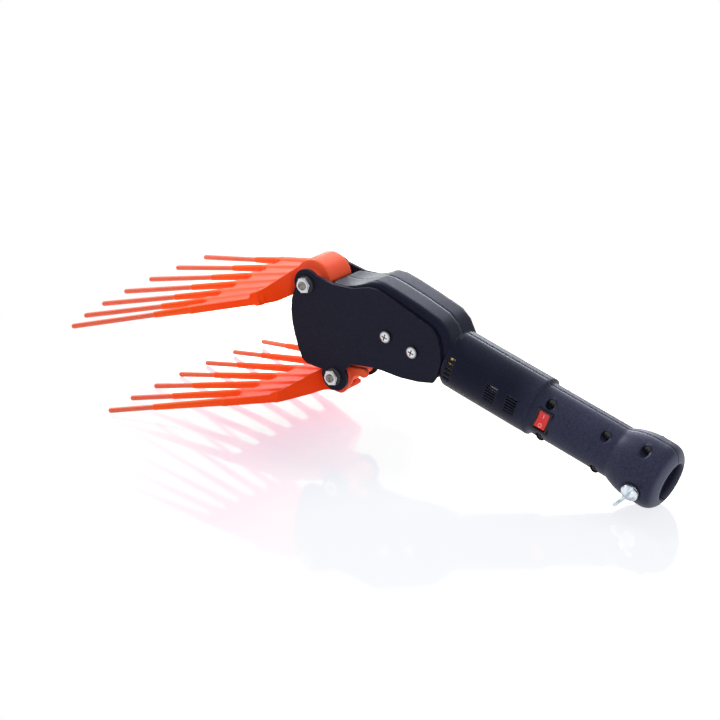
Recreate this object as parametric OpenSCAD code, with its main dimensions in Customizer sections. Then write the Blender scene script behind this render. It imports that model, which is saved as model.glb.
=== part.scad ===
// Electric olive harvester: a bent-neck powered head with two beating combs, for a pole.
// It stands on the lower comb's tines and on the tail collar, with the tail towards +X.

/* [Stance] */
// Pitch of the handle below level, towards the tail
handle_pitch = 16.9; // [12:0.1:22]
// Position along X of the handle's reference point
handle_x = 50.9; // [40:0.1:55]
// Upper pivot along X
upper_x = -58.1; // [-68:0.1:-52]
// Upper pivot height
upper_z = 135; // [125:0.1:145]
// Lower pivot along X
lower_x = -28.1; // [-37:0.1:-22]
// Lower pivot height
lower_z = 53.9; // [50:0.1:58]

/* [Housing] */
// Half width of the gear case between the side plates
case_half = 22.5; // [21:0.1:25]
// Wall of the moulded halves
wall = 3; // [2.4:0.1:4]
// Radius of the motor section
motor_sec_r = 26.6; // [26:0.1:28]
// Radius of the grip section
grip_r = 23.5; // [22.5:0.1:25]
// Start of the motor section along the handle, behind the side plates
neck_t = 36; // [35.9:0.1:38]
// End of the motor section along the handle
step_t = 127; // [124:0.5:132]
// Start of the tail flare along the handle
flare_t = 206.5; // [204:0.5:210]
// End of the tail along the handle
tail_t = 256.2; // [252:0.1:260]
// Largest radius of the tail collar
collar_r = 29.7; // [28.5:0.1:31]
// Edge rounding of the tail collar
collar_edge = 12.8; // [11.5:0.1:13.5]
// Radius of the pole socket
socket_r = 17.6; // [17.1:0.1:18]
// Start of the pole socket along the handle
socket_t = 202; // [200:0.5:206]

/* [Side plates] */
// Thickness of a side plate
plate_t = 3; // [2:0.1:4]
// Radius of a plate ear around its pivot
ear_r = 13.7; // [12.5:0.1:15]

/* [Combs] */
// Tines on each comb
tine_count = 7; // [5:2:9]
// Diameter of a tine rod
tine_d = 4.8; // [4:0.1:5.2]
// Length of an upper tine beyond its finger
upper_tine = 89; // [70:1:100]
// Length of a lower tine beyond its finger
lower_tine = 45.5; // [36:0.5:60]
// Roll of the upper fan about its reach, as it sits
upper_roll = 4.7; // [0:0.1:5]
// Depth of a tine's seat in its finger
seat = 25; // [20:1:30]
// Reach from a comb's pivot to its elbow
elbow_f = 35; // [33:0.5:38]
// Half width of a comb root
root_half = 16; // [14.5:0.1:18]
// Skin thickness of a comb root
skin = 4.8; // [4:0.1:5.4]
// Radius of a comb hub
hub_r = 10.7; // [10:0.1:11.5]

/* [Drive] */
// Crank radius
crank_e = 3.3; // [2.6:0.1:3.8]
// Lever from a comb's pivot to its drive pin
lever_r = 21; // [19:0.1:23]
// Module of the bevel gears
gear_m = 1.25; // [1.1:0.05:1.3]
// Teeth on the bevel pinion
pinion_n = 12; // [11:1:13]
// Teeth on the bevel gear
gear_n = 24; // [22:1:26]
// Free play between the roller and the yoke slot
slot_play = 0.35; // [0.3:0.01:0.6]
// Running clearance of shafts and bushes
run = 0.05; // [0.03:0.01:0.08]

/* [Switch and clamp] */
// Bezel width along the handle
bezel_w = 15; // [13:0.1:16]
// Bezel length across the handle
bezel_h = 20; // [19.6:0.1:21]
// Place of the switch along the handle
switch_t = 140; // [136:0.5:144]
// Turn of the switch above the side
switch_turn = 4; // [0:1:6]
// Place of the wing screw along the handle
clamp_t = 236.5; // [232:0.5:238]
// Turn of the wing screw from straight down to the near side
clamp_turn = 72; // [60:1:80]

/* [Part shown] */
// Sub-part to make, or all

/* [Hidden] */
$fn = 64;
// Height of the handle's reference point, set so that the collar rests at height zero
collar_c = tail_t - collar_edge;
handle_z = collar_c * sin(handle_pitch) + (collar_r - collar_edge) * cos(handle_pitch) + collar_edge;
plate_in = case_half;
plate_out = case_half + plate_t;
// Head frame: mid point of the pivots, direction back along the yoke, direction up across it
mid_x = (upper_x + lower_x) / 2;
mid_z = (upper_z + lower_z) / 2;
span = norm([upper_x - lower_x, upper_z - lower_z]);
lean = atan2(lower_x - upper_x, upper_z - lower_z);
// Crank centre: where the yoke line meets the handle axis, as distances along each
bend = lean + handle_pitch;
crank_s = ((handle_x - mid_x) * sin(handle_pitch) + (handle_z - mid_z) * cos(handle_pitch)) / sin(bend);
crank_t = ((mid_x - handle_x) * sin(lean) - (mid_z - handle_z) * cos(lean)) / sin(bend);
// Bevel pair
pinion_pr = gear_m * pinion_n / 2;
gear_pr = gear_m * gear_n / 2;
face_k = 0.68;
// Layers of the drive across the tool
yoke_y0 = -17.2;
yoke_y1 = -10.4;
// Motor
motor_gap = 2.6;
motor_r = motor_sec_r - wall - motor_gap;
motor_t0 = 44;
motor_len = 67;
motor_t1 = motor_t0 + motor_len;
shaft_r = 3;
// Pivot hardware
bolt_r = 4;
sleeve_r = 6;
bush_r = 8;
// Plate screws along the handle
plate_screw_t = [-22.8, 6.3];
plate_screw_v = -3;
// Rest tilt of the rocker
rocker_tilt = -9;
// Radius of the flat land under the wing screw
clamp_seat = 28.6;
// Housing screws: place along the handle and height above its axis
housing_screw = [[switch_t, 16], [switch_t, -16], [195, 16], [195, -16], [232, 23.2]];

// Places children in the handle frame: x along the handle to the tail, z away from its axis
module on_handle() {
  translate([handle_x, 0, handle_z]) rotate([0, handle_pitch, 0]) children();
}

// Places children in the head frame: x back along the yoke, z up from pivot to pivot
module on_head() {
  translate([mid_x, 0, mid_z]) rotate([0, -lean, 0]) children();
}

module at_upper() {
  translate([upper_x, 0, upper_z]) children();
}

module at_lower() {
  translate([lower_x, 0, lower_z]) children();
}

// Stands a flat outline up in XZ between two Y values
module slab(y0, y1) {
  translate([0, y1, 0]) rotate([90, 0, 0]) linear_extrude(height = y1 - y0) children();
}

// Stands a flat outline up in YZ between two X values
module slab_x(x0, x1) {
  translate([x0, 0, 0]) rotate([90, 0, 90]) linear_extrude(height = x1 - x0) children();
}

// Cylinder along Y between two Y values
module pin(r, y0, y1) {
  translate([0, y1, 0]) rotate([90, 0, 0]) cylinder(r = r, h = y1 - y0);
}

// Cylinder along X between two X values
module rod(r, x0, x1) {
  translate([x0, 0, 0]) rotate([0, 90, 0]) cylinder(r = r, h = x1 - x0);
}

module ring_y(ro, ri, y0, y1) {
  difference() {
    pin(ro, y0, y1);
    pin(ri, y0 - 1, y1 + 1);
  }
}

module ring_x(ro, ri, x0, x1) {
  difference() {
    rod(ro, x0, x1);
    rod(ri, x0 - 1, x1 + 1);
  }
}

// Outline of the gear case seen from the side
module case_outline() {
  translate([handle_x, 0]) polygon([
    [-82.8, 141], [-90.3, 122.5], [-73.1, 80], [-24.8, 70.6], [-7.8, 68.5], [11.2, 68.5], [37.2, 78],
    [42.2, 108], [36.2, 120], [27.7, 128], [5.2, 137.6], [-16.8, 145.6], [-29.8, 149.6], [-38.8, 150.2],
    [-50.8, 146]
  ]);
}

// Gear case block with rounded edges and a shallow saddle ahead of its hump, shrunk by an inset
module case_block(inset) {
  difference() {
    hull() for (a = [0 : 18 : 90])
      slab(inset - case_half + 5.5 * (1 - sin(a)), case_half - inset - 5.5 * (1 - sin(a)))
        offset(delta = -inset - 5.5 * (1 - cos(a))) case_outline();
    translate([handle_x - 73.6, 0, 200.6]) pin(60 + inset, -60, 60);
  }
}

// Half section of the handle, radius against length: motor section, grip, arched flare, rounded collar
module handle_section() {
  c_r = collar_r - collar_edge;
  crest = collar_c - 10;
  fall = collar_r - grip_r;
  arch_r = (pow(crest - flare_t, 2) + fall * fall) / (2 * fall);
  polygon([
    [0, neck_t], [motor_sec_r - 3, neck_t], [motor_sec_r, neck_t + 3], [motor_sec_r, step_t - 1],
    [grip_r + 0.8, step_t], [grip_r, step_t + 0.8], [grip_r, flare_t + 1], [0, flare_t + 1]
  ]);
  intersection() {
    translate([collar_r - arch_r, crest]) circle(r = arch_r, $fn = 200);
    translate([0, flare_t]) square([collar_r + 5, crest - flare_t]);
  }
  translate([0, crest]) square([collar_r, 10]);
  translate([0, collar_c - 1]) square([c_r, collar_edge + 1]);
  intersection() {
    translate([c_r, collar_c]) circle(r = collar_edge);
    translate([c_r - 1, collar_c]) square([collar_edge + 2, collar_edge + 2]);
  }
}

module handle_turned() {
  rotate([0, 90, 0]) rotate_extrude() handle_section();
}

// A fan of vent slots through the handle wall on one side
module vents(side, t0, t1, n, step, mid, w) {
  for (k = [0 : n - 1])
    rotate([side * (mid + (k - (n - 1) / 2) * step), 0, 0])
      translate([t0, side > 0 ? motor_sec_r - 8 : -motor_sec_r - 8, -w / 2]) cube([t1 - t0, 16, w]);
}

// Hollow of both halves: gear chamber, motor bay, grip bay and pole socket
module hollow() {
  case_block(wall);
  on_handle() {
    rod(case_half - wall, 10, motor_t0 - 4);
    rod(motor_sec_r - wall, motor_t0 - 4, step_t - 4);
    rod(grip_r - wall, step_t - 5, 190);
    rod(5, 185, socket_t + 1);
    rod(socket_r, socket_t, tail_t + 5);
  }
}

// Inner ribs that carry the motor, the pinion bush, the crank bush and the yoke guides
module ribs() {
  on_handle() {
    intersection() {
      ring_x(motor_sec_r - 1, motor_r, motor_t0 + 8, motor_t0 + 11);
      translate([0, -60, -60]) cube([200, 120, 120]);
    }
    ring_x(motor_sec_r - 1, motor_r, motor_t1 - 12, motor_t1 - 9);
    ring_x(motor_sec_r - 1, 12, motor_t0 - 7, motor_t0 - 4);
    intersection() {
      translate([-16, -case_half + 1, -36]) cube([7, 2 * case_half - 2, 72]);
      rotate([0, -handle_pitch, 0]) translate([-handle_x, 0, -handle_z]) case_block(1);
    }
  }
}

module housing_body() {
  difference() {
    union() {
      case_block(0);
      on_handle() handle_turned();
    }
    hollow();
  }
  intersection() {
    ribs();
    union() {
      case_block(1);
      on_handle() rod(motor_sec_r - 1, 20, step_t);
    }
  }
}

// Bores and openings that both halves share
module housing_cuts() {
  on_handle() {
    rod(6.5, -20, -5);
    vents(-1, 41, 47.5, 5, 10.5, 2, 2.4);
    vents(1, 41, 47.5, 5, 10.5, 2, 2.4);
    for (side = [-1, 1]) {
      vents(side, 83, 94, 6, 5.6, 2, 1.6);
      vents(side, 104, 115, 6, 5.6, 2, 1.6);
    }
    rotate([-clamp_turn, 0, 0]) translate([clamp_t, 0, -40]) {
      cylinder(r = 6, h = 40 - socket_r + 1);
      cylinder(r = 9.2, h = 40 - clamp_seat);
    }
  }
  on_head() translate([0, -18.4, -9]) cube([30, 9, 18]);
}

module near_housing_half() color("#23242c") {
  difference() {
    union() {
      intersection() {
        housing_body();
        translate([-300, -80, -20]) cube([700, 80, 260]);
      }
      on_handle() {
        for (p = housing_screw) translate([p[0], 0, p[1]]) pin(4.8, -14.5, 0);
        for (t = plate_screw_t) translate([t, 0, plate_screw_v]) pin(5, -case_half + 0.5, -12.5);
        switch_pad();
      }
    }
    housing_cuts();
    on_handle() {
      for (p = housing_screw) translate([p[0], 0, p[1]]) {
        pin(4.2, -40, -12);
        pin(2.1, -13, 1);
      }
      for (t = plate_screw_t) translate([t, 0, plate_screw_v]) pin(2.4, -40, -13);
      rod(socket_r, socket_t, tail_t + 5);
      switch_pocket();
    }
  }
}

// Places children at the switch: y is the depth below the handle's axis, negative towards its face
module at_switch() {
  translate([switch_t, 0, 0]) rotate([-switch_turn, 0, 0]) children();
}

// Pocket and window for the rocker switch
module switch_pocket() at_switch() {
  translate([-bezel_w / 2 - 0.2, -40, -bezel_h / 2 - 0.2]) cube([bezel_w + 0.4, 19, bezel_h + 0.4]);
  translate([-6.6, -30, -9.1]) cube([13.2, 25, 18.2]);
}

// Pad that backs the switch seat inside the wall
module switch_pad() at_switch() translate([-9.5, -21, -9.6]) cube([19, 4.4, 19.2]);

module far_housing_half() color("#23242c") {
  difference() {
    union() {
      intersection() {
        housing_body();
        translate([-300, 0, -20]) cube([700, 80, 260]);
      }
      on_handle() {
        for (p = housing_screw) translate([p[0], 0, p[1]]) pin(4.2, 0, 12.5);
        for (t = plate_screw_t) translate([t, 0, plate_screw_v]) pin(5, 12.5, case_half - 0.5);
        translate([crank_t, 0, 0]) pin(8.5, 12.6, case_half - 1);
      }
    }
    housing_cuts();
    on_handle() {
      for (p = housing_screw) translate([p[0], 0, p[1]]) pin(1.9, -1, 10);
      for (t = plate_screw_t) translate([t, 0, plate_screw_v]) pin(2.4, 13, 40);
      translate([crank_t, 0, 0]) pin(6, 12, case_half - 1.2);
      rod(socket_r, socket_t, tail_t + 5);
    }
  }
}

// Outline of a side plate: a flat cheek with two pivot ears
module plate_outline() {
  difference() {
    union() {
      translate([upper_x, upper_z]) circle(r = ear_r);
      translate([lower_x, lower_z]) circle(r = ear_r);
      translate([handle_x, 0]) polygon([
        [-121.8, 130], [-125.8, 119], [-126.8, 108], [-125.8, 97], [-123.2, 85.5], [-119.1, 73],
        [-114.8, 63.4], [-109.3, 59.6], [-91.8, 58], [-68, 62], [-60.3, 69.6], [-36.8, 71.4],
        [-24.8, 70.6], [-7.8, 68.6], [11.2, 68.8], [26.2, 71], [30.2, 77], [34.4, 91.5], [33.2, 104],
        [30.2, 114], [24.2, 121], [8.2, 128], [-9.8, 135.6], [-25.8, 142], [-33.8, 144.6], [-41.8, 144.6],
        [-58.8, 140.4], [-79.8, 140.2], [-99.8, 145]
      ]);
    }
    translate([upper_x, upper_z]) circle(r = bolt_r + 0.1);
    translate([lower_x, lower_z]) circle(r = bolt_r + 0.1);
  }
}

module side_plate(y0, y1) {
  difference() {
    slab(y0, y1) plate_outline();
    on_handle() for (t = plate_screw_t) translate([t, 0, plate_screw_v]) pin(2.7, y0 - 1, y1 + 1);
  }
}

module near_side_plate() color("#1d1e24") side_plate(-plate_out, -plate_in);

module far_side_plate() color("#1d1e24") side_plate(plate_in, plate_out);

// A pan head screw along Y, head on the side given
module pan_screw(side, head_y, head_r, head_h, shank_r, len) {
  rotate([side * -90, 0, 0]) translate([0, 0, head_y]) difference() {
    union() {
      intersection() {
        cylinder(r = head_r, h = head_h);
        translate([0, 0, head_h - 2.2 * head_r]) sphere(r = 2.2 * head_r);
      }
      translate([0, 0, -len]) cylinder(r = shank_r, h = len + 0.2);
    }
    for (a = [0, 90]) rotate([0, 0, a])
      translate([-head_r * 0.55, -head_r * 0.11, head_h * 0.45]) cube([head_r * 1.1, head_r * 0.22, head_h]);
  }
}

module plate_screws() color("#c9ccd2") {
  on_handle() for (t = plate_screw_t) for (side = [-1, 1])
    translate([t, 0, plate_screw_v]) pan_screw(side, plate_out, 5.4, 3.2, 2.4, 12);
}

module housing_screws() color("#b9bcc2") {
  on_handle() for (p = housing_screw) translate([p[0], 0, p[1]]) pan_screw(-1, 12, 3.6, 2.6, 1.9, 21);
}

// Both pivot bolts: hexagon head on the far side, plain shank through sleeve and plates
module pivot_bolts() color("#aeb2b8") {
  for (p = [[upper_x, upper_z], [lower_x, lower_z]]) translate([p[0], 0, p[1]]) {
    pin(bolt_r, -plate_out - 7.4, plate_out + 2);
    translate([0, plate_out + 7.3, 0]) rotate([90, 0, 0]) cylinder(r = 7.5, h = 5.5, $fn = 6);
  }
}

module pivot_nuts() color("#c4c8ce") {
  for (p = [[upper_x, upper_z], [lower_x, lower_z]]) translate([p[0], 0, p[1]]) difference() {
    union() {
      translate([0, -plate_out - 1.6, 0]) rotate([90, 0, 0]) rotate([0, 0, 12])
        cylinder(r = 7.5, h = 4, $fn = 6);
      pin(6, -plate_out - 6.8, -plate_out - 5);
    }
    pin(bolt_r, -plate_out - 9, -plate_out);
  }
}

module pivot_washers() color("#9a9ea6") {
  for (p = [[upper_x, upper_z], [lower_x, lower_z]]) translate([p[0], 0, p[1]]) {
    ring_y(8, bolt_r + 0.1, -plate_out - 1.6, -plate_out);
    ring_y(8, bolt_r + 0.1, plate_out, plate_out + 1.8);
  }
}

module pivot_sleeves() color("#8f949c") {
  for (p = [[upper_x, upper_z], [lower_x, lower_z]]) translate([p[0], 0, p[1]])
    ring_y(sleeve_r, bolt_r + 0.1, -plate_in, plate_in);
}

// Fingers and tines of a comb in its fan plane: x forward is negative, measured from the elbow.
// A fan is [reach of the middle tine, shortening per step squared, spacing of the tips,
// closing of the tips per step cubed, splay per step, reach of the knuckles].
half_n = (tine_count - 1) / 2;
function tip_f(k, v) = v[0] - v[1] * k * k;
function tip_y(k, v) = v[2] * k - v[3] * k * k * k;
function on_tine(k, f, v) = [-f, tip_y(k, v) - (tip_f(k, v) - f) * tan(v[4] * k)];
function tine_dir(k, v) = [-cos(v[4] * k), sin(v[4] * k)];
function finger_end(k, v, len) = [-tip_f(k, v), tip_y(k, v)] - len * tine_dir(k, v);
finger_r = [3.9, 3];

// A round bar between two points of the fan plane, with a radius for each end
module bar(a, b, r0, r1) {
  d = b - a;
  translate([a[0], a[1], 0]) rotate([0, 90, atan2(d[1], d[0])]) cylinder(h = norm(d), r1 = r0, r2 = r1);
}

module fan(v, len) {
  knuckle = v[5];
  difference() {
    union() {
      // Square ribs spread over the palm, then round fingers that taper to the tines
      translate([0, 0, -3.6]) linear_extrude(height = 7.2) for (k = [-half_n : half_n]) {
        d = on_tine(k, knuckle, v) - on_tine(k, 0, v);
        translate(on_tine(k, 0, v)) rotate(atan2(d[1], d[0])) translate([0, -3.7]) square([norm(d), 7.4]);
        translate(on_tine(k, knuckle, v)) circle(r = 4.5);
      }
      for (k = [-half_n : half_n])
        bar(on_tine(k, knuckle - 1, v), finger_end(k, v, len), finger_r[0], finger_r[1]);
      // Web between the ribs, with an arched edge in each gap
      translate([0, 0, -2.2]) linear_extrude(height = 4.4) difference() {
        polygon(concat(
          [on_tine(-half_n, -3, v), on_tine(half_n, -3, v)],
          [for (k = [half_n : -1 : -half_n]) on_tine(k, knuckle, v)]
        ));
        for (k = [-half_n : half_n - 1])
          translate((on_tine(k, knuckle, v) + on_tine(k + 1, knuckle, v)) / 2 - [3, 0])
            circle(r = (on_tine(1, knuckle, v)[1] - 8) / 2);
      }
    }
    for (k = [-half_n : half_n]) {
      c = finger_end(k, v, len);
      bar(c - seat * tine_dir(k, v), c + 2 * tine_dir(k, v), tine_d / 2, tine_d / 2);
    }
  }
}

// Round-ended tines of one comb in the fan plane, seated in the finger bores
module tine_set(v, len) {
  for (k = [-half_n : half_n]) {
    a = finger_end(k, v, len) - seat * tine_dir(k, v);
    reach = seat + len - tine_d / 2;
    translate(concat(a, 0)) rotate([0, 90, atan2(tine_dir(k, v)[1], tine_dir(k, v)[0])]) rotate_extrude() {
      square([tine_d / 2, reach]);
      intersection() {
        translate([0, reach]) circle(d = tine_d);
        translate([0, reach - 1]) square(tine_d);
      }
    }
  }
}

// Elbow of each comb: height below its pivot, fall of its fan, the fan, and its shoulders' half width
upper_elbow_z = -10.7;
upper_fall = 13.7;
upper_fan = [213.9, 2.43, 35.7, 0.28, 4.84, 66];
upper_wide = 53.5;
lower_elbow_z = -17.1;
lower_fan = [174.1, 1.38, 38.4, 0.026, 6.11, 50];
lower_wide = 64.5;
lower_fall = asin((lower_z + lower_elbow_z - tine_d / 2) / (lower_fan[0] - tine_d / 2));

module on_upper_fan() {
  at_upper() translate([-elbow_f, 0, upper_elbow_z]) rotate([upper_roll, -upper_fall, 0]) children();
}

module on_lower_fan() {
  at_lower() translate([-elbow_f, 0, lower_elbow_z]) rotate([0, -lower_fall, 0]) children();
}

// Plan of a comb root: narrow between the plates, then spreading to the shoulders of the palm
module root_plan(w, inset) {
  half = [[40, root_half], [-17, root_half], [-elbow_f, w], [-elbow_f - 7, w + 1.6]];
  polygon(concat(
    [for (p = half) [p[0], p[1] - inset]],
    [for (k = [len(half) - 1 : -1 : 0]) [half[k][0], inset - half[k][1]]]
  ));
}

// A side outline spread over the root's plan
module over_plan(w) {
  intersection() {
    slab(-80, 80) children();
    translate([0, 0, -80]) linear_extrude(height = 160) root_plan(w, 0);
  }
}

// Lever blade from a hub to its drive pin, turned to point across the head
module lever(turn) {
  rotate([0, turn, 0]) difference() {
    union() {
      slab(-10, -4) translate([-5.5, 0]) square([11, lever_r]);
      translate([0, 0, lever_r]) pin(5.5, -10, -4);
    }
    translate([0, 0, lever_r]) pin(2.5, -11, -3);
  }
}

// Band of the root skin around a hub between two angles
module skin_arc(r, a0, a1) {
  difference() {
    circle(r = r);
    circle(r = r - skin);
    polygon(concat([[0, 0]], [for (a = [a1 : (360 + a0 - a1) / 6 : a0 + 360.01]) 3 * r * [cos(a), sin(a)]]));
  }
}

module upper_comb() color("#ff5a1c") {
  difference() {
    union() {
      on_upper_fan() fan(upper_fan, upper_tine);
      at_upper() {
        over_plan(upper_wide) {
          skin_arc(20.3, 6, 128);
          polygon([[-12.4, 16], [-33, -5], [-42, -9], [-42, -14.6], [-34, -11.5], [-9.6, 12.2]]);
        }
        // Side walls under both edges of the skin
        difference() {
          over_plan(upper_wide) polygon([[-2, 17], [-12.4, 14.5], [-33, -6], [-42, -10], [-42, -18.5],
            [-35, -20.5], [-26, -19], [-15, -12.8], [-2, -9]]);
          translate([0, 0, -80]) linear_extrude(height = 160) root_plan(upper_wide, 4);
        }
        // Cheeks that close the ends of the arch
        for (y = [-root_half, root_half - 3.5]) slab(y, y + 3.5) intersection() {
          circle(r = 19);
          polygon([[0, 0], [30, 3.2], [30, 40], [-30, 40]]);
        }
        slab(-8, 8) polygon([[-4, 18], [-12, 14], [-12, -4], [-4, -8]]);
        pin(hub_r, -plate_in + 0.3, plate_in - 0.3);
        lever(180 - lean);
      }
    }
    at_upper() pin(bush_r, -plate_in, plate_in);
  }
}

module lower_comb() color("#ff5a1c") {
  difference() {
    union() {
      on_lower_fan() fan(lower_fan, lower_tine);
      at_lower() {
        over_plan(lower_wide) {
          skin_arc(19.8, 248, 272);
          polygon([[-6.9, -18.5], [-22, -20.9], [-33, -21.8], [-42, -20.6], [-42, -15], [-33, -16.4],
            [-22, -15.6], [-5.4, -14]]);
        }
        // Side walls over both edges of the skin
        difference() {
          over_plan(lower_wide) polygon([[-4, -18], [-7, -17.4], [-22, -20], [-33, -21.4], [-42, -20],
            [-42, -13], [-34, -9.5], [-21, 0.6], [-18.4, 1.4], [-17, 6], [-4, 6]]);
          translate([0, 0, -80]) linear_extrude(height = 160) root_plan(lower_wide, 4);
        }
        // Strip under the near end of the hub, with a rolled lip behind the pivot
        slab(-root_half, -root_half + 5) {
          polygon([[-4, -19.2], [2.5, -18.6], [5.8, -15.2], [8.8, -10.4], [12, -4.4], [14.4, -1.1], [17, 0.8],
            [20.4, 2.4], [24, 9.7], [14, 8.6], [0, 8]]);
          translate([24.2, 5]) circle(r = 4.8);
        }
        // Webs that tie the skin to the hub
        for (y = [-12, 8]) slab(y, y + 4)
          polygon([[0, -16], [-7, -17], [-24, -19], [-40, -19], [-38, -13], [-22, -6], [-8, 6], [0, 6]]);
        pin(hub_r, -plate_in + 0.3, plate_in - 0.3);
        lever(-lean);
      }
    }
    at_lower() pin(bush_r, -plate_in, plate_in);
  }
}

module upper_tines() color("#ff6a3a") on_upper_fan() tine_set(upper_fan, upper_tine);

module lower_tines() color("#ff6a3a") on_lower_fan() tine_set(lower_fan, lower_tine);

module bushes() {
  ring_y(bush_r, sleeve_r + run, -plate_in + 0.3, -plate_in + 13);
  ring_y(bush_r, sleeve_r + run, plate_in - 13, plate_in - 0.3);
}

module upper_bushes() color("#b08850") at_upper() bushes();

module lower_bushes() color("#b08850") at_lower() bushes();

module drive_pin(turn) {
  rotate([0, turn, 0]) translate([0, 0, lever_r]) pin(2.5, yoke_y0, -4);
}

module upper_drive_pin() color("#9aa0a8") at_upper() drive_pin(180 - lean);

module lower_drive_pin() color("#9aa0a8") at_lower() drive_pin(-lean);

// Obround slot across the yoke
module slot(x, z, half_w, half_l) {
  translate([x, z]) {
    square([2 * half_w, 2 * (half_l - half_w)], center = true);
    for (s = [-1, 1]) translate([0, s * (half_l - half_w)]) circle(r = half_w);
  }
}

// Yoke plate: cross bar at the comb levers, stem, and a slotted block at the crank
module drive_yoke() color("#7c8088") {
  pin_v = span / 2 - lever_r;
  on_head() slab(yoke_y0, yoke_y1) difference() {
    union() {
      translate([-7, -pin_v - 7.5]) square([14, 2 * pin_v + 15]);
      translate([0, -6]) square([crank_s, 12]);
      translate([crank_s - 8.4, -11]) square([16.8, 22]);
    }
    slot(0, pin_v, 2.5 + 0.12, 3.4);
    slot(0, -pin_v, 2.5 + 0.12, 3.4);
    slot(crank_s, 0, 4 + slot_play, 4 + slot_play + crank_e + 0.3);
    translate([crank_s / 2, 0]) circle(r = 3.4);
  }
}

// Two nylon guides above and below the yoke stem, held in the front wall
module yoke_guides() color("#d8d4c6") {
  on_head() for (s = [-1, 1]) translate([11, yoke_y0 - 0.8, s > 0 ? 6.1 : -8.8]) cube([12, 8.2, 2.7]);
}

module on_crank() {
  on_handle() translate([crank_t, 0, 0]) children();
}

// Crank pin at mid stroke, square to the yoke
module at_crank_pin() {
  on_crank() rotate([0, -bend, 0]) translate([0, 0, crank_e]) children();
}

// Crank shaft with its disc, bored off centre for the pin
module crank_shaft() color("#8e939b") difference() {
  on_crank() {
    pin(4, -6.5, case_half - 1.4);
    pin(9.5, -10, -6.4);
  }
  at_crank_pin() pin(2.5, -11, -7.4);
}

module crank_pin() color("#aab0b8") at_crank_pin() pin(2.5, yoke_y0, -7.4);

module crank_roller() color("#c2c6cc") at_crank_pin() ring_y(4, 2.5 + run, yoke_y0, yoke_y1);

module crank_bush() color("#b08850") on_crank() ring_y(6, 4 + run, 12.6, case_half - 1.2);

// Straight bevel teeth on a cone whose tip is the origin
function inv(a) = tan(a) * 180 / PI - a;
function tooth_half(p, r_v) = let (c = r_v * cos(25) / p)
  (PI * gear_m / 2 - 0.3) / 2 / r_v * 180 / PI + inv(25) - (c < 1 ? inv(acos(c)) : 0);
function cone_pt(p, a, d, z_b) =
  [p * cos(d) * cos(a / cos(d)), p * cos(d) * sin(a / cos(d)), z_b - p * sin(d)];

module bevel_tooth(r, d) {
  r_v = r / cos(d);
  z_b = r / tan(d) + r * tan(d);
  ps = [r_v - 1.7 * gear_m, r_v - 0.5 * gear_m, r_v, r_v + 0.8 * gear_m];
  left = [for (p = ps) cone_pt(p, tooth_half(p, r_v), d, z_b)];
  right = [for (k = [3 : -1 : 0]) cone_pt(ps[k], -tooth_half(ps[k], r_v), d, z_b)];
  loop = concat(left, right);
  polyhedron(
    points = concat(loop, [for (p = loop) p * face_k]),
    faces = concat(
      [[1, 6, 7, 0], [2, 5, 6, 1], [3, 4, 5, 2], [8, 15, 14, 9], [9, 14, 13, 10], [10, 13, 12, 11]],
      [for (k = [0 : 7]) [k + 8, (k + 1) % 8 + 8, (k + 1) % 8, k]]
    )
  );
}

module bevel(r, n, d, turn) {
  p = r / cos(d) - 1.05 * gear_m;
  root_r = p * cos(d);
  root_z = r / tan(d) + r * tan(d) - p * sin(d);
  for (k = [0 : n - 1]) rotate([0, 0, turn + 360 * k / n]) bevel_tooth(r, d);
  translate([0, 0, face_k * root_z]) cylinder(r1 = face_k * root_r, r2 = root_r, h = (1 - face_k) * root_z);
  translate([0, 0, root_z - 0.01]) cylinder(r = root_r, h = 3.2);
}

module crank_gear() color("#777c84") on_crank() rotate([-90, 0, 0]) difference() {
  bevel(gear_pr, gear_n, atan2(gear_n, pinion_n), 0);
  cylinder(r = 4, h = 40);
}

module pinion_shaft() color("#8e939b") on_handle() {
  translate([crank_t, 0, 0]) rotate([90, 0, 90])
    bevel(pinion_pr, pinion_n, atan2(pinion_n, gear_n), 180 / pinion_n);
  rod(shaft_r, crank_t + gear_pr + 2, 20);
}

module pinion_bush() color("#b08850") on_handle() ring_x(6.5, shaft_r + run, -16.5, -8.5);

module shaft_coupling() color("#6f747c") on_handle() difference() {
  ring_x(8.5, shaft_r, 10, 30);
  for (t = [14, 26]) translate([t, 0, 0]) cylinder(r = 1.6, h = 20);
}

module motor_shaft() color("#b4b8be") on_handle() rod(shaft_r, 20.2, motor_t1 - 1);

// Slotted armature core with its commutator
module motor_armature() color("#5d5148") on_handle() {
  difference() {
    ring_x(13, shaft_r, motor_t0 + 12, motor_t1 - 23);
    for (a = [0 : 72 : 288]) rotate([a, 0, 0])
      translate([motor_t0 + 11, -1.2, 9]) cube([motor_len - 33, 2.4, 6]);
  }
  ring_x(6, shaft_r, motor_t1 - 23, motor_t1 - 13);
}

module motor_can() color("#9fa3a8") on_handle() difference() {
  union() {
    rod(motor_r, motor_t0, motor_t1 - 6);
    rod(8.7, motor_t0 - 4.5, motor_t0 + 1);
  }
  rod(motor_r - 2, motor_t0 + 2, motor_t1);
  rod(shaft_r + 0.4, motor_t0 - 6, motor_t0 + 4);
  for (a = [45 : 90 : 315]) rotate([a, 0, 0]) translate([motor_t0 - 1, -4, 11]) cube([6, 8, 5]);
}

module motor_end_cap() color("#2b2c30") on_handle() difference() {
  rod(motor_r, motor_t1 - 6, motor_t1);
  rod(motor_r - 2.5, motor_t1 - 7, motor_t1 - 3);
  rod(shaft_r + 0.4, motor_t1 - 8, motor_t1 + 1);
  for (a = [0 : 60 : 300]) rotate([a, 0, 0]) translate([motor_t1 - 8, -3, 10]) cube([9, 6, 5]);
}

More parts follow.
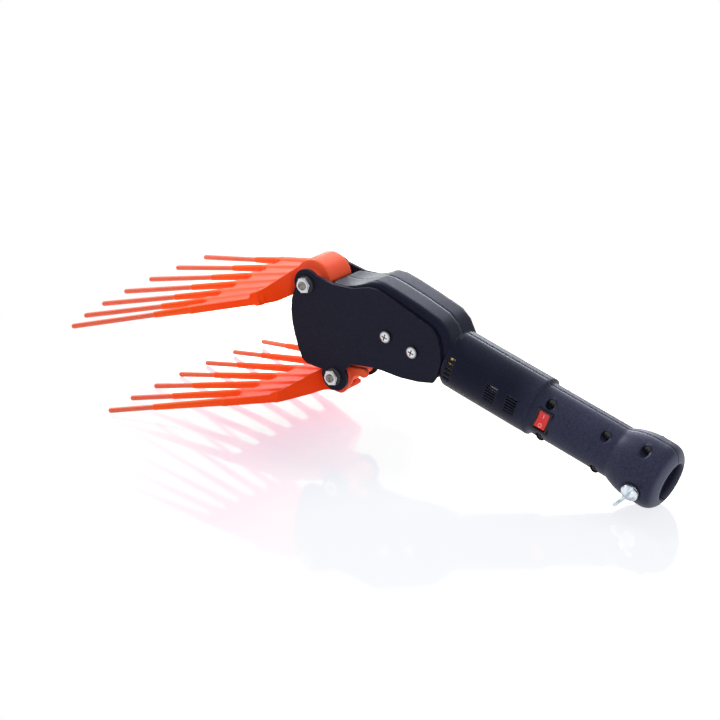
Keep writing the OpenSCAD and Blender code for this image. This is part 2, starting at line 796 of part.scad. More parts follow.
// Yellow passivated ring that clamps the motor's front face into the housing
module motor_mount() color("#c8a648") on_handle() difference() {
  ring_x(motor_sec_r - wall - 0.1, 8.8, motor_t0 - 4, motor_t0);
  for (a = [0 : 90 : 270]) rotate([a, 0, 0]) translate([motor_t0 - 5, -4, 13.5]) cube([6, 8, 5]);
}

module motor_tabs() color("#c9a850") on_handle() {
  for (s = [-1, 1]) translate([motor_t1, s * 14.5 - 0.4, -2.4]) cube([7.8, 0.8, 4.8]);
}

// Rocker switch: flanged frame with a deep body
module switch_body() color("#17181b") on_handle() at_switch() difference() {
  union() {
    translate([-bezel_w / 2, -23.2, -bezel_h / 2]) cube([bezel_w, 2.2, bezel_h]);
    translate([-6.5, -21.2, -9]) cube([13, 14, 18]);
  }
  translate([-5.3, -30, -8.5]) cube([10.6, 20, 17]);
  translate([0, -17.2, 0]) rod(1.2 + run, -8, 8);
}

module switch_tabs() color("#c9a850") on_handle() at_switch() {
  for (z = [-5, 5]) translate([-2.4, -7.2, z - 0.4]) cube([4.8, 7.8, 0.8]);
}

// Rocker: a shallow V on a pivot pin, tilted with its lower end proud
module switch_rocker() color("#c8202a") on_handle() at_switch() translate([0, -17.2, 0]) {
  rotate([rocker_tilt, 0, 0]) slab_x(-5, 5)
    polygon([[-5, 0], [-6.3, 7.2], [-1, 7.6], [5, 3], [5, -3], [-1, -7.6], [-6.3, -7.2]]);
  rod(1.2, -6.3, 6.3);
}

// Turn of the wing head at rest
wing_turn = -32;

module on_clamp() {
  on_handle() rotate([-clamp_turn, 0, 0]) translate([clamp_t, 0, 0]) rotate([180, 0, 0]) children();
}

module clamp_insert() color("#b59550") on_clamp() translate([0, 0, socket_r + 0.6]) difference() {
  cylinder(r = 6, h = 9);
  translate([0, 0, -1]) cylinder(r = 4, h = 20);
}

module clamp_stud() color("#c6cad0") on_clamp() translate([0, 0, socket_r + 0.8])
  cylinder(r = 4 - run, h = 16.4);

// Wing head: a domed hub and a blade with two rounded lobes, seen on its edge at rest
module clamp_wings() color("#cdd3da") on_clamp() rotate([0, 0, wing_turn]) difference() {
  union() {
    translate([0, 0, clamp_seat + 1.5]) rotate_extrude() {
      square([7.8, 3]);
      intersection() {
        translate([0, -1.5]) circle(r = 9);
        translate([0, 2.9]) square([7.8, 6]);
      }
    }
    slab_x(-1.5, 1.5) {
      for (s = [-1, 1]) translate([s * 10, clamp_seat + 11]) circle(r = 5);
      polygon([[-11, clamp_seat + 15.5], [-11, clamp_seat + 6.5], [0, clamp_seat + 3.5],
        [11, clamp_seat + 6.5], [11, clamp_seat + 15.5], [0, clamp_seat + 10.2]]);
    }
  }
  translate([0, 0, 20]) cylinder(r = 4, h = 15.2);
}

near_housing_half();
far_housing_half();
near_side_plate();
far_side_plate();
plate_screws();
housing_screws();
pivot_bolts();
pivot_nuts();
pivot_washers();
pivot_sleeves();
upper_comb();
upper_tines();
upper_bushes();
upper_drive_pin();
lower_comb();
lower_tines();
lower_bushes();
lower_drive_pin();
drive_yoke();
yoke_guides();
crank_shaft();
crank_gear();
crank_pin();
crank_roller();
crank_bush();
pinion_shaft();
pinion_bush();
shaft_coupling();
motor_shaft();
motor_armature();
motor_can();
motor_end_cap();
motor_mount();
motor_tabs();
switch_body();
switch_tabs();
switch_rocker();
clamp_insert();
clamp_stud();
clamp_wings();
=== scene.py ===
import math
import bmesh
import bpy
from mathutils import Matrix, Vector


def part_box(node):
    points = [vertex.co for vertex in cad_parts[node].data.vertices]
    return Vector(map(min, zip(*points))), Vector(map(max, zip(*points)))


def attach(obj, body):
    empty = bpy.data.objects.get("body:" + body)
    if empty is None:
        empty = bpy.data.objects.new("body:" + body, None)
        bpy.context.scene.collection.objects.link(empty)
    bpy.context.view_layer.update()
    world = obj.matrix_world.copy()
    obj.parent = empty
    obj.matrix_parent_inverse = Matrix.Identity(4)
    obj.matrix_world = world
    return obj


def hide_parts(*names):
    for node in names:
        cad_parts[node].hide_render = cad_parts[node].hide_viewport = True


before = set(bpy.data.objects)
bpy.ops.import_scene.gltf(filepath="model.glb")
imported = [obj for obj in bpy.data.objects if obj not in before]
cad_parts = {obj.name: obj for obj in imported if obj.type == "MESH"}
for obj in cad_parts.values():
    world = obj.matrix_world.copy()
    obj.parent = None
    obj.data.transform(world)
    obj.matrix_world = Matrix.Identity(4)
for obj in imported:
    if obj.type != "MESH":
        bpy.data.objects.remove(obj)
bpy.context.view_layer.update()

# The studio table: one glossy white acrylic sheet that runs back out of sight.
# It mirrors the combs and the handle faintly, keeps a trace of their shadows and
# turns to plain white away from the tool.


class Wire:
    """One socket in a tree of nodes. Arithmetic on it adds Math nodes to the tree."""

    def __init__(self, tree, socket=None):
        self.tree, self.socket = tree, socket

    def feed(self, socket, value):
        if isinstance(value, Wire):
            self.tree.links.new(value.socket, socket)
        else:
            socket.default_value = value

    def node(self, kind, settings, sockets, out=0):
        """Adds any other node. A socket is found by its identifier, or else by its name."""
        made = self.tree.nodes.new(kind)
        for name, value in settings.items():
            setattr(made, name, value)
        for name, value in sockets.items():
            fits = [s for s in made.inputs if s.identifier == name]
            fits += [s for s in made.inputs if s.name == name]
            self.feed(fits[0], value)
        return None if out is None else Wire(self.tree, made.outputs[out])

    def maths(self, operation, *values):
        made = self.tree.nodes.new("ShaderNodeMath")
        made.operation = operation
        for socket, value in zip(made.inputs, values):
            self.feed(socket, value)
        return Wire(self.tree, made.outputs[0])

    def __add__(self, other):
        return self.maths("ADD", self, other)

    def __sub__(self, other):
        return self.maths("SUBTRACT", self, other)

    def __rsub__(self, other):
        return self.maths("SUBTRACT", other, self)

    def __mul__(self, other):
        return self.maths("MULTIPLY", self, other)

    def __abs__(self):
        return self.maths("ABSOLUTE", self)

    __radd__, __rmul__ = __add__, __mul__


def start_finish(name):
    """A new material and the object's own coordinates in it."""
    finish = bpy.data.materials.new(name)
    finish.use_nodes = True
    finish.node_tree.nodes.clear()
    return finish, Wire(finish.node_tree).node("ShaderNodeTexCoord", {}, {}, "Object")


def noise(at, scale, detail=3.0, roughness=0.5):
    return at.node("ShaderNodeTexNoise", {}, {
        "Vector": at, "Scale": scale, "Detail": detail, "Roughness": roughness,
    })


def blend(at, factor, first, second):
    return at.node("ShaderNodeMix", {"data_type": "RGBA"}, {
        "Factor_Float": factor, "A_Color": first, "B_Color": second,
    }, 2)


def ease(value, low, high, start=0.0, end=1.0):
    """Goes smoothly from start to end while the value goes from low to high."""
    return value.node("ShaderNodeMapRange", {"interpolation_type": "SMOOTHSTEP"}, {
        "Value": value, "From Min": low, "From Max": high, "To Min": start, "To Max": end,
    })


def along(at, direction, origin=(0, 0, 0)):
    """Distance from a point, in metres, measured along one direction of the tool."""
    reading = at.node("ShaderNodeVectorMath", {"operation": "DOT_PRODUCT"}, {
        "Vector": at, "Vector_001": tuple(direction),
    }, "Value")
    return reading - Vector(direction).dot(Vector(origin))


def seen_or_mirrored(wire):
    """1 for the rays that show the backdrop itself, 0 for the rays that light the tool."""
    ray = wire.tree.nodes.new("ShaderNodeLightPath")
    camera_ray, glossy_ray, transmission_ray = [
        Wire(wire.tree, ray.outputs[name])
        for name in ("Is Camera Ray", "Is Glossy Ray", "Is Transmission Ray")
    ]
    return wire.maths("MAXIMUM", camera_ray, wire.maths("MAXIMUM", glossy_ray, transmission_ray))


table_white, at = start_finish("white_acrylic_table")
acrylic = at.node("ShaderNodeBsdfPrincipled", {}, {
    "Base Color": blend(at, noise(at, 3.0), (0.90, 0.90, 0.92, 1), (0.93, 0.93, 0.95, 1)),
    "Roughness": 0.10 + 0.04 * noise(at, 6.0),
    "Specular IOR Level": 0.5,
})
backdrop = at.node("ShaderNodeEmission", {}, {"Color": (1, 1, 1, 1), "Strength": 1.0})
# Painted reflection: near the tool the mirror is tinted yellow and a painted blue glow is added
# to it, so dark reflections show blue.
mirror = at.node("ShaderNodeBsdfGlossy", {}, {"Color": (1, 0.9, 0.55, 1), "Roughness": 0.06})
painted_blue_glow = at.node("ShaderNodeEmission", {}, {"Color": (0, 0.1, 0.45, 1), "Strength": 1.0})
mirror_with_painted_glow = at.node("ShaderNodeAddShader", {}, {"Shader": mirror, "Shader_001": painted_blue_glow})
away = at.node("ShaderNodeVectorMath", {"operation": "LENGTH"}, {"Vector": at}, "Value")
towards_tail = along(at, (1, 0, 0))
past_tines = along(at, (-0.813, -0.582, 0))
gloss = at.node("ShaderNodeFresnel", {}, {"IOR": 1.5})
gloss = gloss * ease(away, 0.60, 0.34) * ease(past_tines, 0.25, 0.12)
bright_sheet = at.node("ShaderNodeMixShader", {}, {
    "Fac": gloss * ease(towards_tail, -0.10, 0.08, 2.4, 0.7),
    "Shader": backdrop,
    "Shader_001": mirror_with_painted_glow,
})
sheet_mix = at.node("ShaderNodeMixShader", {}, {
    "Fac": seen_or_mirrored(at) * ease(away, 0.20, 0.50, 0.86, 1.0),
    "Shader": acrylic,
    "Shader_001": bright_sheet,
})
at.node("ShaderNodeOutputMaterial", {}, {"Surface": sheet_mix}, None)
sheet_half = 6.0
sheet = bmesh.new()
bmesh.ops.create_grid(sheet, x_segments=4, y_segments=4, size=sheet_half)
table_mesh = bpy.data.meshes.new("studio_table")
sheet.to_mesh(table_mesh)
sheet.free()
table_mesh.materials.append(table_white)
table = bpy.data.objects.new("studio_table", table_mesh)
bpy.context.scene.collection.objects.link(table)

# The light: a cool white room, one lamp beyond the combs that throws their shadows
# towards the handle, a wide panel and two small ones behind the tool that light its
# top edges, and a weak one in front.

room = bpy.data.worlds.new("white_room")
room.use_nodes = True
room.node_tree.nodes.clear()
sky = Wire(room.node_tree)
shown = seen_or_mirrored(sky)
fill = 0.72
glow = sky.node("ShaderNodeBackground", {}, {
    "Color": blend(sky, shown, (0.88, 0.93, 1, 1), (0.99, 0.995, 1, 1)),
    "Strength": fill + (1 - fill) * shown,
})
sky.node("ShaderNodeOutputWorld", {}, {"Surface": glow}, None)
bpy.context.scene.world = room


def lamp_panel(name, place, aim, width, watts, colour):
    data = bpy.data.lights.new(name, "AREA")
    data.shape = "SQUARE"
    data.size, data.energy, data.color = width, watts, colour
    panel = bpy.data.objects.new(name, data)
    panel.location = place
    panel.rotation_euler = (Vector(aim) - Vector(place)).to_track_quat("-Z", "Y").to_euler()
    bpy.context.scene.collection.objects.link(panel)
    return panel


lamp_panel("comb_side_lamp", (-1.25, 0.45, 1.3), (0, 0, 0.06), 0.4, 28, (1, 0.99, 0.97))
lamp_panel("back_panel", (-0.35, 1.6, 1.25), (0, 0, 0.05), 1.4, 15, (0.88, 0.93, 1))
lamp_panel("low_back_panel", (-1.25, 1.55, 0.45), (0, 0, 0.1), 0.55, 5, (0.92, 0.95, 1))
lamp_panel("handle_rim_panel", (-0.45, 1.5, 0.62), (0.12, 0, 0.1), 0.5, 6.5, (0.86, 0.90, 1))
front = lamp_panel("front_panel", (0.75, -0.85, 1.25), (0, 0, 0.05), 1.0, 4.5, (1, 0.98, 0.96))
front.visible_glossy = False

# The camera stands off the near rear corner, a little above the tool, with a
# long lens.

camera_data = bpy.data.cameras.new("studio_camera")
camera_data.sensor_width = 36.0
camera_data.lens = 97.755
camera_data.clip_end = 50.0
camera = bpy.data.objects.new("studio_camera", camera_data)
turn, rise, reach = math.radians(35.6), math.radians(20.6), 1.7623
aim = Vector((-0.01794, 0.0, 0.06388))
back = Vector((math.sin(turn) * math.cos(rise), -math.cos(turn) * math.cos(rise), math.sin(rise)))
camera.location = aim + reach * back
camera.rotation_euler = back.to_track_quat("Z", "Y").to_euler()
bpy.context.scene.collection.objects.link(camera)
bpy.context.scene.camera = camera

# The two halves of the housing: black glass-filled nylon, moulded with a fine
# spark-eroded grain and screwed together along the middle of the tool. They are
# polished on the edges. The grip behind the motor is painted paler and the neck
# and case darker, painted light and shade; the tail rim and the lip beside the seam
# are painted highlights.


def copied(node, name):
    """A loose copy of a node's mesh with its doubled corners merged."""
    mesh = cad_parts[node].data.copy()
    mesh.name = name
    merged = bmesh.new()
    merged.from_mesh(mesh)
    bmesh.ops.remove_doubles(merged, verts=merged.verts, dist=1e-6)
    merged.to_mesh(mesh)
    merged.free()
    piece = bpy.data.objects.new(name, mesh)
    bpy.context.scene.collection.objects.link(piece)
    return piece


def settle(piece):
    """Turns a piece and its modifiers into one plain mesh."""
    bpy.context.view_layer.update()
    depsgraph = bpy.context.evaluated_depsgraph_get()
    finished = bpy.data.meshes.new_from_object(piece.evaluated_get(depsgraph))
    finished.name = piece.name
    before = piece.data
    piece.modifiers.clear()
    piece.data = finished
    bpy.data.meshes.remove(before)


def blended_shell(node, name, crease):
    """A moulded shell whose shallow facets shade as one curve, with crisp creases kept."""
    piece = copied(node, name)
    shell = bmesh.new()
    shell.from_mesh(piece.data)
    for face in shell.faces:
        face.smooth = True
    for edge in shell.edges:
        edge.smooth = len(edge.link_faces) == 2 and edge.calc_face_angle(0.0) < crease
    shell.to_mesh(piece.data)
    shell.free()
    even = piece.modifiers.new("even_shading", "WEIGHTED_NORMAL")
    even.keep_sharp = True
    settle(piece)
    return piece


def rubbed_edge(at, width):
    """1 on a sharp outer edge and 0 on open faces."""
    rounded = at.node("ShaderNodeBevel", {"samples": 4}, {"Radius": width})
    flat = at.node("ShaderNodeNewGeometry", {}, {}, "Normal")
    match = at.node("ShaderNodeVectorMath", {"operation": "DOT_PRODUCT"}, {
        "Vector": rounded, "Vector_001": flat,
    }, "Value")
    return ease(match, 0.99, 0.80)


def bumped(at, height, strength, depth=0.0002, rounding=0.0):
    """Fine relief, on edges that look rounded by the given radius."""
    relief = {"Height": height, "Strength": strength, "Distance": depth}
    if rounding:
        relief["Normal"] = at.node("ShaderNodeBevel", {"samples": 8}, {"Radius": rounding})
    return at.node("ShaderNodeBump", {}, relief)


def end_finish(at, sockets):
    surface = at.node("ShaderNodeBsdfPrincipled", {}, sockets)
    at.node("ShaderNodeOutputMaterial", {}, {"Surface": surface}, None)


shell_black, at = start_finish("moulded_black_shell")
grain = noise(at, 900.0, 2.0, 0.6)
cloud = noise(at, 26.0, 4.0, 0.55)
speckle = ease(noise(at, 620.0, 3.0, 0.7), 0.34, 0.66)
mottle = 0.5 * cloud + 0.5 * speckle
pitch = math.radians(16.9)
handle_way = (math.cos(pitch), 0, -math.sin(pitch))
handle_up = (math.sin(pitch), 0, math.cos(pitch))
handle_start = (0.0509, 0, 0.0997)
down_handle = along(at, handle_way, handle_start)
painted_grip_light_mask = ease(down_handle, 0.10, 0.15)
# Painted highlight: the rim round the tail bore is painted paler.
painted_tail_rim_highlight = ease(down_handle, 0.2500, 0.2555)
off_seam = abs(along(at, (0, 1, 0)))
seam = ease(off_seam, 0.00060, 0.00035)
# Painted highlight: a pale band beside the dark seam line.
painted_seam_lip_highlight = ease(off_seam, 0.0016, 0.0009) - seam
polished = rubbed_edge(at, 0.0014) * noise(at, 160.0, 4.0, 0.7)
# This grey serves both the polished edges and the painted highlights.
polished_and_highlight_grey, cool_sheen = (0.085, 0.092, 0.130, 1), (0.70, 0.78, 1, 1)
# Painted light and shade: the grip black is paler and the neck and case black darker, for how the
# light falls on them.
painted_shade_black = blend(at, mottle, (0.0015, 0.0018, 0.0075, 1), (0.0085, 0.0090, 0.0230, 1))
painted_light_black = blend(at, mottle, (0.0160, 0.0165, 0.0340, 1), (0.0430, 0.0440, 0.0780, 1))
nylon = blend(at, painted_grip_light_mask, painted_shade_black, painted_light_black)
nylon = blend(at, 0.5 * painted_tail_rim_highlight, nylon, (0.15, 0.16, 0.21, 1))
nylon = blend(at, 0.5 * polished, nylon, polished_and_highlight_grey)
nylon = blend(at, 0.4 * painted_seam_lip_highlight, nylon, polished_and_highlight_grey)
end_finish(at, {
    "Base Color": blend(at, seam, nylon, (0.002, 0.002, 0.003, 1)),
    "Roughness": 0.30 + 0.10 * cloud + 0.12 * grain,
    "Specular IOR Level": 0.14,
    "Specular Tint": cool_sheen,
    "Normal": bumped(at, grain * 0.4 - seam, 0.4, depth=0.0003, rounding=0.004),
})
for side in ("near", "far"):
    shell = blended_shell(side + "_housing_half", side + "_shell", crease=math.radians(24))
    shell.data.materials.clear()
    shell.data.materials.append(shell_black)
    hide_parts(side + "_housing_half")
    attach(shell, "frame")

# The motor: a drawn steel can with an iron armature inside and an end cap, held
# by a yellow-passivated ring that glints behind the neck vents.


def cloudy_finish(name, spots, dark, light, rough, rougher, metal=0.0, shine=0.5, relief=0.0):
    """A finish in which one cloud of noise varies colour, roughness and relief together."""
    finish, at = start_finish(name)
    cloud = noise(at, *spots)
    sockets = {
        "Base Color": blend(at, cloud, (*dark, 1), (*light, 1)),
        "Metallic": metal,
        "Roughness": rough + rougher * cloud,
        "Specular IOR Level": shine,
    }
    if relief:
        sockets["Normal"] = bumped(at, cloud, relief)
    end_finish(at, sockets)
    return finish


def dress(finish, *nodes):
    for name in nodes:
        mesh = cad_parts[name].data
        mesh.materials.clear()
        mesh.materials.append(finish)
        for face in mesh.polygons:
            face.material_index = 0


passivate = cloudy_finish("yellow_passivated_steel", (70.0, 4.0, 0.6), (0.72, 0.50, 0.12),
                          (0.86, 0.68, 0.25), 0.26, 0.16, metal=1.0)
dress(passivate, "motor_mount", "motor_tabs")
can_steel = cloudy_finish("drawn_steel_can", (180.0, 4.0, 0.6), (0.46, 0.47, 0.48),
                          (0.58, 0.59, 0.60), 0.30, 0.18, metal=1.0)
dress(can_steel, "motor_can")
iron_stack = cloudy_finish("lacquered_iron_stack", (800.0, 3.0, 0.6), (0.20, 0.13, 0.08),
                           (0.30, 0.19, 0.11), 0.40, 0.20, metal=0.6)
dress(iron_stack, "motor_armature")
cap_black = cloudy_finish("moulded_end_cap", (120.0, 3.0, 0.5), (0.012, 0.012, 0.014),
                          (0.022, 0.022, 0.026), 0.42, 0.16)
dress(cap_black, "motor_end_cap")

# The drive: turned and milled steel, oiled, from the motor coupling through the
# bevel pair and the crank to the slotted yoke. It runs in oil-soaked bronze
# bushes and between nylon guides.

oiled_steel = cloudy_finish("oiled_steel", (120.0, 5.0, 0.6), (0.30, 0.29, 0.28),
                            (0.50, 0.49, 0.47), 0.28, 0.22, metal=1.0, relief=0.05)
dress(oiled_steel, "upper_drive_pin", "lower_drive_pin", "drive_yoke", "crank_shaft",
      "crank_gear", "crank_pin", "crank_roller", "pinion_shaft", "shaft_coupling",
      "motor_shaft", "pivot_sleeves")
natural_nylon = cloudy_finish("natural_nylon", (90.0, 3.0, 0.5), (0.62, 0.60, 0.54),
                              (0.72, 0.70, 0.64), 0.42, 0.16, relief=0.05)
dress(natural_nylon, "yoke_guides")

oily_bronze, at = start_finish("oily_bronze")
pores = noise(at, 1500.0, 3.0, 0.6)
end_finish(at, {
    "Base Color": blend(at, noise(at, 90.0), (0.45, 0.27, 0.10, 1), (0.60, 0.38, 0.16, 1)),
    "Metallic": 1.0,
    "Roughness": 0.36 + 0.18 * pores,
    "Normal": bumped(at, pores, 0.10),
})
dress(oily_bronze, "upper_bushes", "lower_bushes", "crank_bush", "pinion_bush")

# The two side plates: laser-cut steel, painted matt black, screwed to the case.
# The paint is thin on the cut edge.

plate_black, at = start_finish("matt_painted_plate")
orange_peel = noise(at, 520.0, 2.0, 0.4)
rubbed = noise(at, 40.0, 6.0, 0.62)
dust = ease(noise(at, 540.0, 3.0, 0.7), 0.34, 0.66)
paint = blend(at, 0.5 * rubbed + 0.5 * dust,
              (0.0055, 0.0055, 0.0125, 1), (0.0135, 0.0135, 0.0255, 1))
bare = rubbed_edge(at, 0.0007) * ease(noise(at, 210.0, 4.0, 0.7), 0.42, 0.66)
end_finish(at, {
    "Base Color": blend(at, 0.6 * bare, paint, (0.10, 0.10, 0.11, 1)),
    "Roughness": 0.52 + 0.16 * rubbed,
    "Specular IOR Level": 0.14,
    "Specular Tint": cool_sheen,
    "Normal": bumped(at, orange_peel, 0.12),
})
dress(plate_black, "near_side_plate", "far_side_plate")

# The two combs: orange moulded plastic, with an arched root on the pivot, a ribbed
# palm and a finger for each rod. Their edges are rounded as a mould leaves them, and
# the fingers close on the rods.

comb_orange, at = start_finish("moulded_orange_comb")
flow = noise(at, 30.0, 4.0, 0.55)
fine = noise(at, 700.0, 2.0, 0.5)
towards_tips = ease(along(at, (-1, 0, -0.5), (0, 0, 0.1)), 0.11, 0.19)
# Painted sheen: the arched root is painted a paler orange, standing in for the pale highlights it
# catches.
painted_sheen_to_root = ease(along(at, (1, 0, 0.45), (-0.075, 0, 0.125)), -0.012, 0.016)
# Painted highlight: convex edges are painted a paler orange.
painted_edge_highlight = ease(at.node("ShaderNodeNewGeometry", {}, {}, "Pointiness"), 0.52, 0.60)
orange = blend(at, flow, (0.93, 0.044, 0.0012, 1), (0.97, 0.066, 0.0025, 1))
orange = blend(at, towards_tips, orange, (0.90, 0.090, 0.010, 1))
orange = blend(at, painted_sheen_to_root, orange, (0.96, 0.108, 0.040, 1))
end_finish(at, {
    "Base Color": blend(at, 0.6 * painted_edge_highlight, orange, (1.0, 0.24, 0.085, 1)),
    "Roughness": 0.40 + 0.14 * flow,
    "Specular IOR Level": 0.10,
    "Normal": bumped(at, fine, 0.08),
})

# Each fan is flat, tilted at its elbow by drop and roll. Away from its middle rod the
# tips fall back by shorter, stand apart by spread less closing and turn out by splay.
# The lower fan drops until its middle rod's tip rests on the table.
rod_r, seat = 0.0024, 0.025
lower_elbow, lower_reach = (-0.0631, 0, 0.0368), 0.1741
fans = {
    "upper": {
        "elbow": (-0.0931, 0, 0.1243), "drop": math.radians(13.7), "roll": math.radians(4.7),
        "reach": 0.2139, "shorter": 0.00243, "spread": 0.0357, "closing": 0.00028,
        "splay": math.radians(4.84), "free": 0.089,
    },
    "lower": {
        "elbow": lower_elbow, "roll": 0.0,
        "drop": math.asin((lower_elbow[2] - rod_r) / (lower_reach - rod_r)),
        "reach": lower_reach, "shorter": 0.00138, "spread": 0.0384, "closing": 0.000026,
        "splay": math.radians(6.11), "free": 0.0455,
    },
}


def rod_lines(fan):
    """Tip and direction of each of the seven rods of a fan, in the tool's own frame."""
    pose = Matrix.Rotation(-fan["drop"], 3, "Y") @ Matrix.Rotation(fan["roll"], 3, "X")
    for k in range(-3, 4):
        tip = Vector((-(fan["reach"] - fan["shorter"] * k * k),
                      fan["spread"] * k - fan["closing"] * k ** 3, 0))
        ahead = Vector((-math.cos(fan["splay"] * k), math.sin(fan["splay"] * k), 0))
        yield Vector(fan["elbow"]) + pose @ tip, pose @ ahead


plug_r, plug_length = rod_r + 0.0003, seat + 0.001
for side, fan in fans.items():
    palm = copied(side + "_comb", side + "_comb_moulding")
    filled = bmesh.new()
    filled.from_mesh(palm.data)
    for tip, ahead in rod_lines(fan):
        middle = tip - (fan["free"] + seat / 2) * ahead
        place = Matrix.Translation(middle) @ ahead.to_track_quat("Z", "Y").to_matrix().to_4x4()
        bmesh.ops.create_cone(filled, cap_ends=True, segments=20, radius1=plug_r,
                              radius2=plug_r, depth=plug_length, matrix=place)
    filled.to_mesh(palm.data)
    filled.free()
    cells = palm.modifiers.new("cells", "REMESH")
    cells.mode, cells.voxel_size, cells.use_smooth_shade = "VOXEL", 0.0010, True
    eased = palm.modifiers.new("eased_edges", "SMOOTH")
    eased.factor, eased.iterations = 0.5, 6
    settle(palm)
    palm.data.materials.clear()
    palm.data.materials.append(comb_orange)
    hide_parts(side + "_comb")
    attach(palm, side + "_arm")

# The rods: orange-coated fibre rods with round ends, seven to a comb, pushed 25 mm
# into the fingers. They spread as a fan by the same steps as the fingers.

rod_orange, at = start_finish("orange_coated_rod")
coat = noise(at, 60.0, 4.0, 0.6)
end_finish(at, {
    "Base Color": blend(at, coat, (0.68, 0.096, 0.042, 1), (0.78, 0.128, 0.060, 1)),
    "Roughness": 0.40 + 0.16 * coat,
    "Specular IOR Level": 0.32,
    "Normal": bumped(at, noise(at, 900.0), 0.06),
})

rod_fan = bpy.data.node_groups.new("rod_fan", "GeometryNodeTree")
plug = rod_fan.interface
plug.new_socket("Spines", in_out="INPUT", socket_type="NodeSocketGeometry")
girth_input = plug.new_socket("Rod radius", in_out="INPUT", socket_type="NodeSocketFloat")
sides_input = plug.new_socket("Sides", in_out="INPUT", socket_type="NodeSocketInt")
finish_input = plug.new_socket("Finish", in_out="INPUT", socket_type="NodeSocketMaterial")
plug.new_socket("Rods", in_out="OUTPUT", socket_type="NodeSocketGeometry")
given = rod_fan.nodes.new("NodeGroupInput").outputs
spines, girth, sides, finish = [
    Wire(rod_fan, given[name]) for name in ("Spines", "Rod radius", "Sides", "Finish")
]
taper = spines.node("GeometryNodeInputNamedAttribute", {"data_type": "FLOAT"}, {"Name": "taper"})
lines = spines.node("GeometryNodeMeshToCurve", {}, {"Mesh": spines})
section = spines.node("GeometryNodeCurvePrimitiveCircle", {}, {
    "Resolution": sides, "Radius": girth,
})
swept = spines.node("GeometryNodeCurveToMesh", {}, {
    "Curve": lines, "Profile Curve": section, "Scale": taper, "Fill Caps": True,
})
single = spines.node("GeometryNodeRealizeInstances", {}, {"Geometry": swept})
coated = spines.node("GeometryNodeSetMaterial", {}, {"Geometry": single, "Material": finish})
spines.node("NodeGroupOutput", {}, {"Rods": coated}, None)

end_steps, end_turn = 8, math.radians(88)
for side, fan in fans.items():
    spine = bmesh.new()
    taper_layer = spine.verts.layers.float.new("taper")
    whole = fan["free"] + seat
    stations = [(0.0, 1.0), (whole / 2, 1.0)]
    for step in range(end_steps + 1):
        bend = end_turn * step / end_steps
        stations.append((whole - rod_r + rod_r * math.sin(bend), math.cos(bend)))
    for tip, ahead in rod_lines(fan):
        last = None
        for distance, size in stations:
            here = spine.verts.new(tip + (distance - whole) * ahead)
            here[taper_layer] = size
            if last:
                spine.edges.new((last, here))
            last = here
    spine_mesh = bpy.data.meshes.new(side + "_rods")
    spine.to_mesh(spine_mesh)
    spine.free()
    rods = bpy.data.objects.new(side + "_rods", spine_mesh)
    bpy.context.scene.collection.objects.link(rods)
    sweep = rods.modifiers.new("rod_fan", "NODES")
    sweep.node_group = rod_fan
    sweep[girth_input.identifier] = rod_r
    sweep[sides_input.identifier] = 24
    sweep[finish_input.identifier] = rod_orange
    settle(rods)
    for face in rods.data.polygons:
        face.use_smooth = True
    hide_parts(side + "_tines")
    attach(rods, side + "_arm")

# The fasteners: zinc-plated plate screws and lock nuts, black washers under the
# nuts, pivot bolts with rusty ends, and dark housing screws deep in their holes.

bright_zinc, at = start_finish("bright_zinc_plate")
crystal = noise(at, 240.0, 5.0, 0.6)
# Painted shade: below the top of each head, the cross recess and the sides of the head are
# painted dark.
screw_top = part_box("plate_screws")[1][1]
depth_for_painted_shade = screw_top - abs(along(at, (0, 1, 0)))
zinc = blend(at, crystal, (0.66, 0.68, 0.71, 1), (0.86, 0.87, 0.89, 1))
end_finish(at, {
    "Base Color": blend(at, ease(depth_for_painted_shade, 0.0004, 0.0012), zinc, (0.16, 0.16, 0.17, 1)),
    "Metallic": 1.0,
    "Roughness": 0.22 + 0.18 * crystal,
    "Normal": bumped(at, crystal, 0.08),
})
dress(bright_zinc, "plate_screws")

nut_zinc = cloudy_finish("zinc_lock_nut", (190.0, 5.0, 0.6), (0.50, 0.51, 0.53),
                         (0.82, 0.83, 0.85), 0.20, 0.20, metal=1.0, relief=0.08)
dress(nut_zinc, "pivot_nuts")
black_oxide = cloudy_finish("black_oxide_steel", (150.0, 4.0, 0.6), (0.030, 0.030, 0.034),
                            (0.070, 0.068, 0.070), 0.34, 0.20, metal=0.8, relief=0.06)
dress(black_oxide, "pivot_washers", "housing_screws")

rusty_end, at = start_finish("rust_spotted_bolt")
spots = ease(noise(at, 330.0, 6.0, 0.7), 0.46, 0.60)
end_finish(at, {
    "Base Color": blend(at, spots, (0.26, 0.25, 0.24, 1), (0.09, 0.055, 0.035, 1)),
    "Metallic": 1.0 - 0.7 * spots,
    "Roughness": 0.30 + 0.40 * spots,
    "Normal": bumped(at, spots, 0.15),
})
dress(rusty_end, "pivot_bolts")

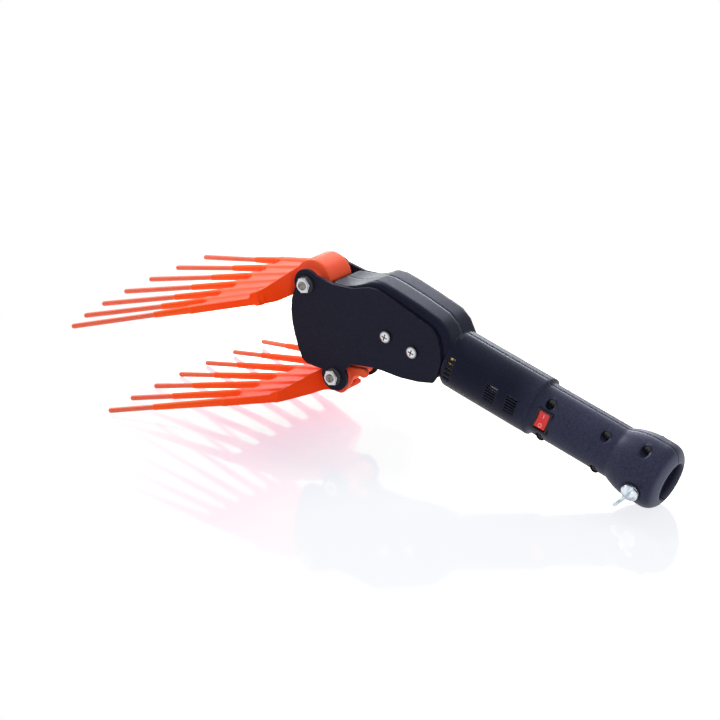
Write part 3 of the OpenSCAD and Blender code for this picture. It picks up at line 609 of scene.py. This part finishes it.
# The rocker switch: a black snap-in body with yellow-passivated tabs, and a red
# rocker on a cross pin, with a moulded bar and ring that mark on and off.

bezel_black = cloudy_finish("switch_body_black", (200.0, 3.0, 0.5), (0.006, 0.006, 0.009),
                            (0.012, 0.012, 0.016), 0.32, 0.16, shine=0.30)
dress(bezel_black, "switch_body")
dress(passivate, "switch_tabs")

rocker_red, at = start_finish("rocker_red")
rocker_low, rocker_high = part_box("switch_rocker")
rocker_mid = [(low + high) / 2 for low, high in zip(rocker_low, rocker_high)]
across, upward = along(at, handle_way, rocker_mid), along(at, handle_up, rocker_mid)
mark_up, ring_r = 0.0040, 0.0014
bar = ease(abs(across), 0.00050, 0.00030) * ease(abs(upward - mark_up), 0.0018, 0.0015)
above_ring = upward + mark_up
from_ring = at.maths("SQRT", across * across + above_ring * above_ring)
ring = ease(abs(from_ring - ring_r), 0.00045, 0.00025)
mark = at.maths("MAXIMUM", bar, ring)
rocker_cloud = noise(at, 260.0, 3.0, 0.5)
red = blend(at, rocker_cloud, (0.60, 0.010, 0.010, 1), (0.76, 0.020, 0.016, 1))
end_finish(at, {
    "Base Color": blend(at, mark, red, (0.95, 0.28, 0.24, 1)),
    "Roughness": 0.24 + 0.14 * rocker_cloud,
    "Normal": bumped(at, mark, 0.3),
})
dress(rocker_red, "switch_rocker")

# The pole clamp: a zinc-plated wing screw, cast with a domed hub and two lobes,
# that turns in a yellow-passivated insert in the tail collar.

cast_zinc, at = start_finish("plated_zinc_casting")
skin = noise(at, 420.0, 4.0, 0.6)
haze = ease(noise(at, 150.0, 3.0, 0.5), 0.36, 0.64)
end_finish(at, {
    "Base Color": blend(at, haze, (0.42, 0.50, 0.58, 1), (0.80, 0.87, 0.93, 1)),
    "Metallic": 1.0,
    "Roughness": 0.14 + 0.14 * haze,
    "Normal": bumped(at, 0.3 * skin + haze, 0.35, depth=0.0010, rounding=0.0012),
})
dress(cast_zinc, "clamp_wings", "clamp_stud")
dress(passivate, "clamp_insert")

bpy.context.scene.view_settings.view_transform = "Standard"
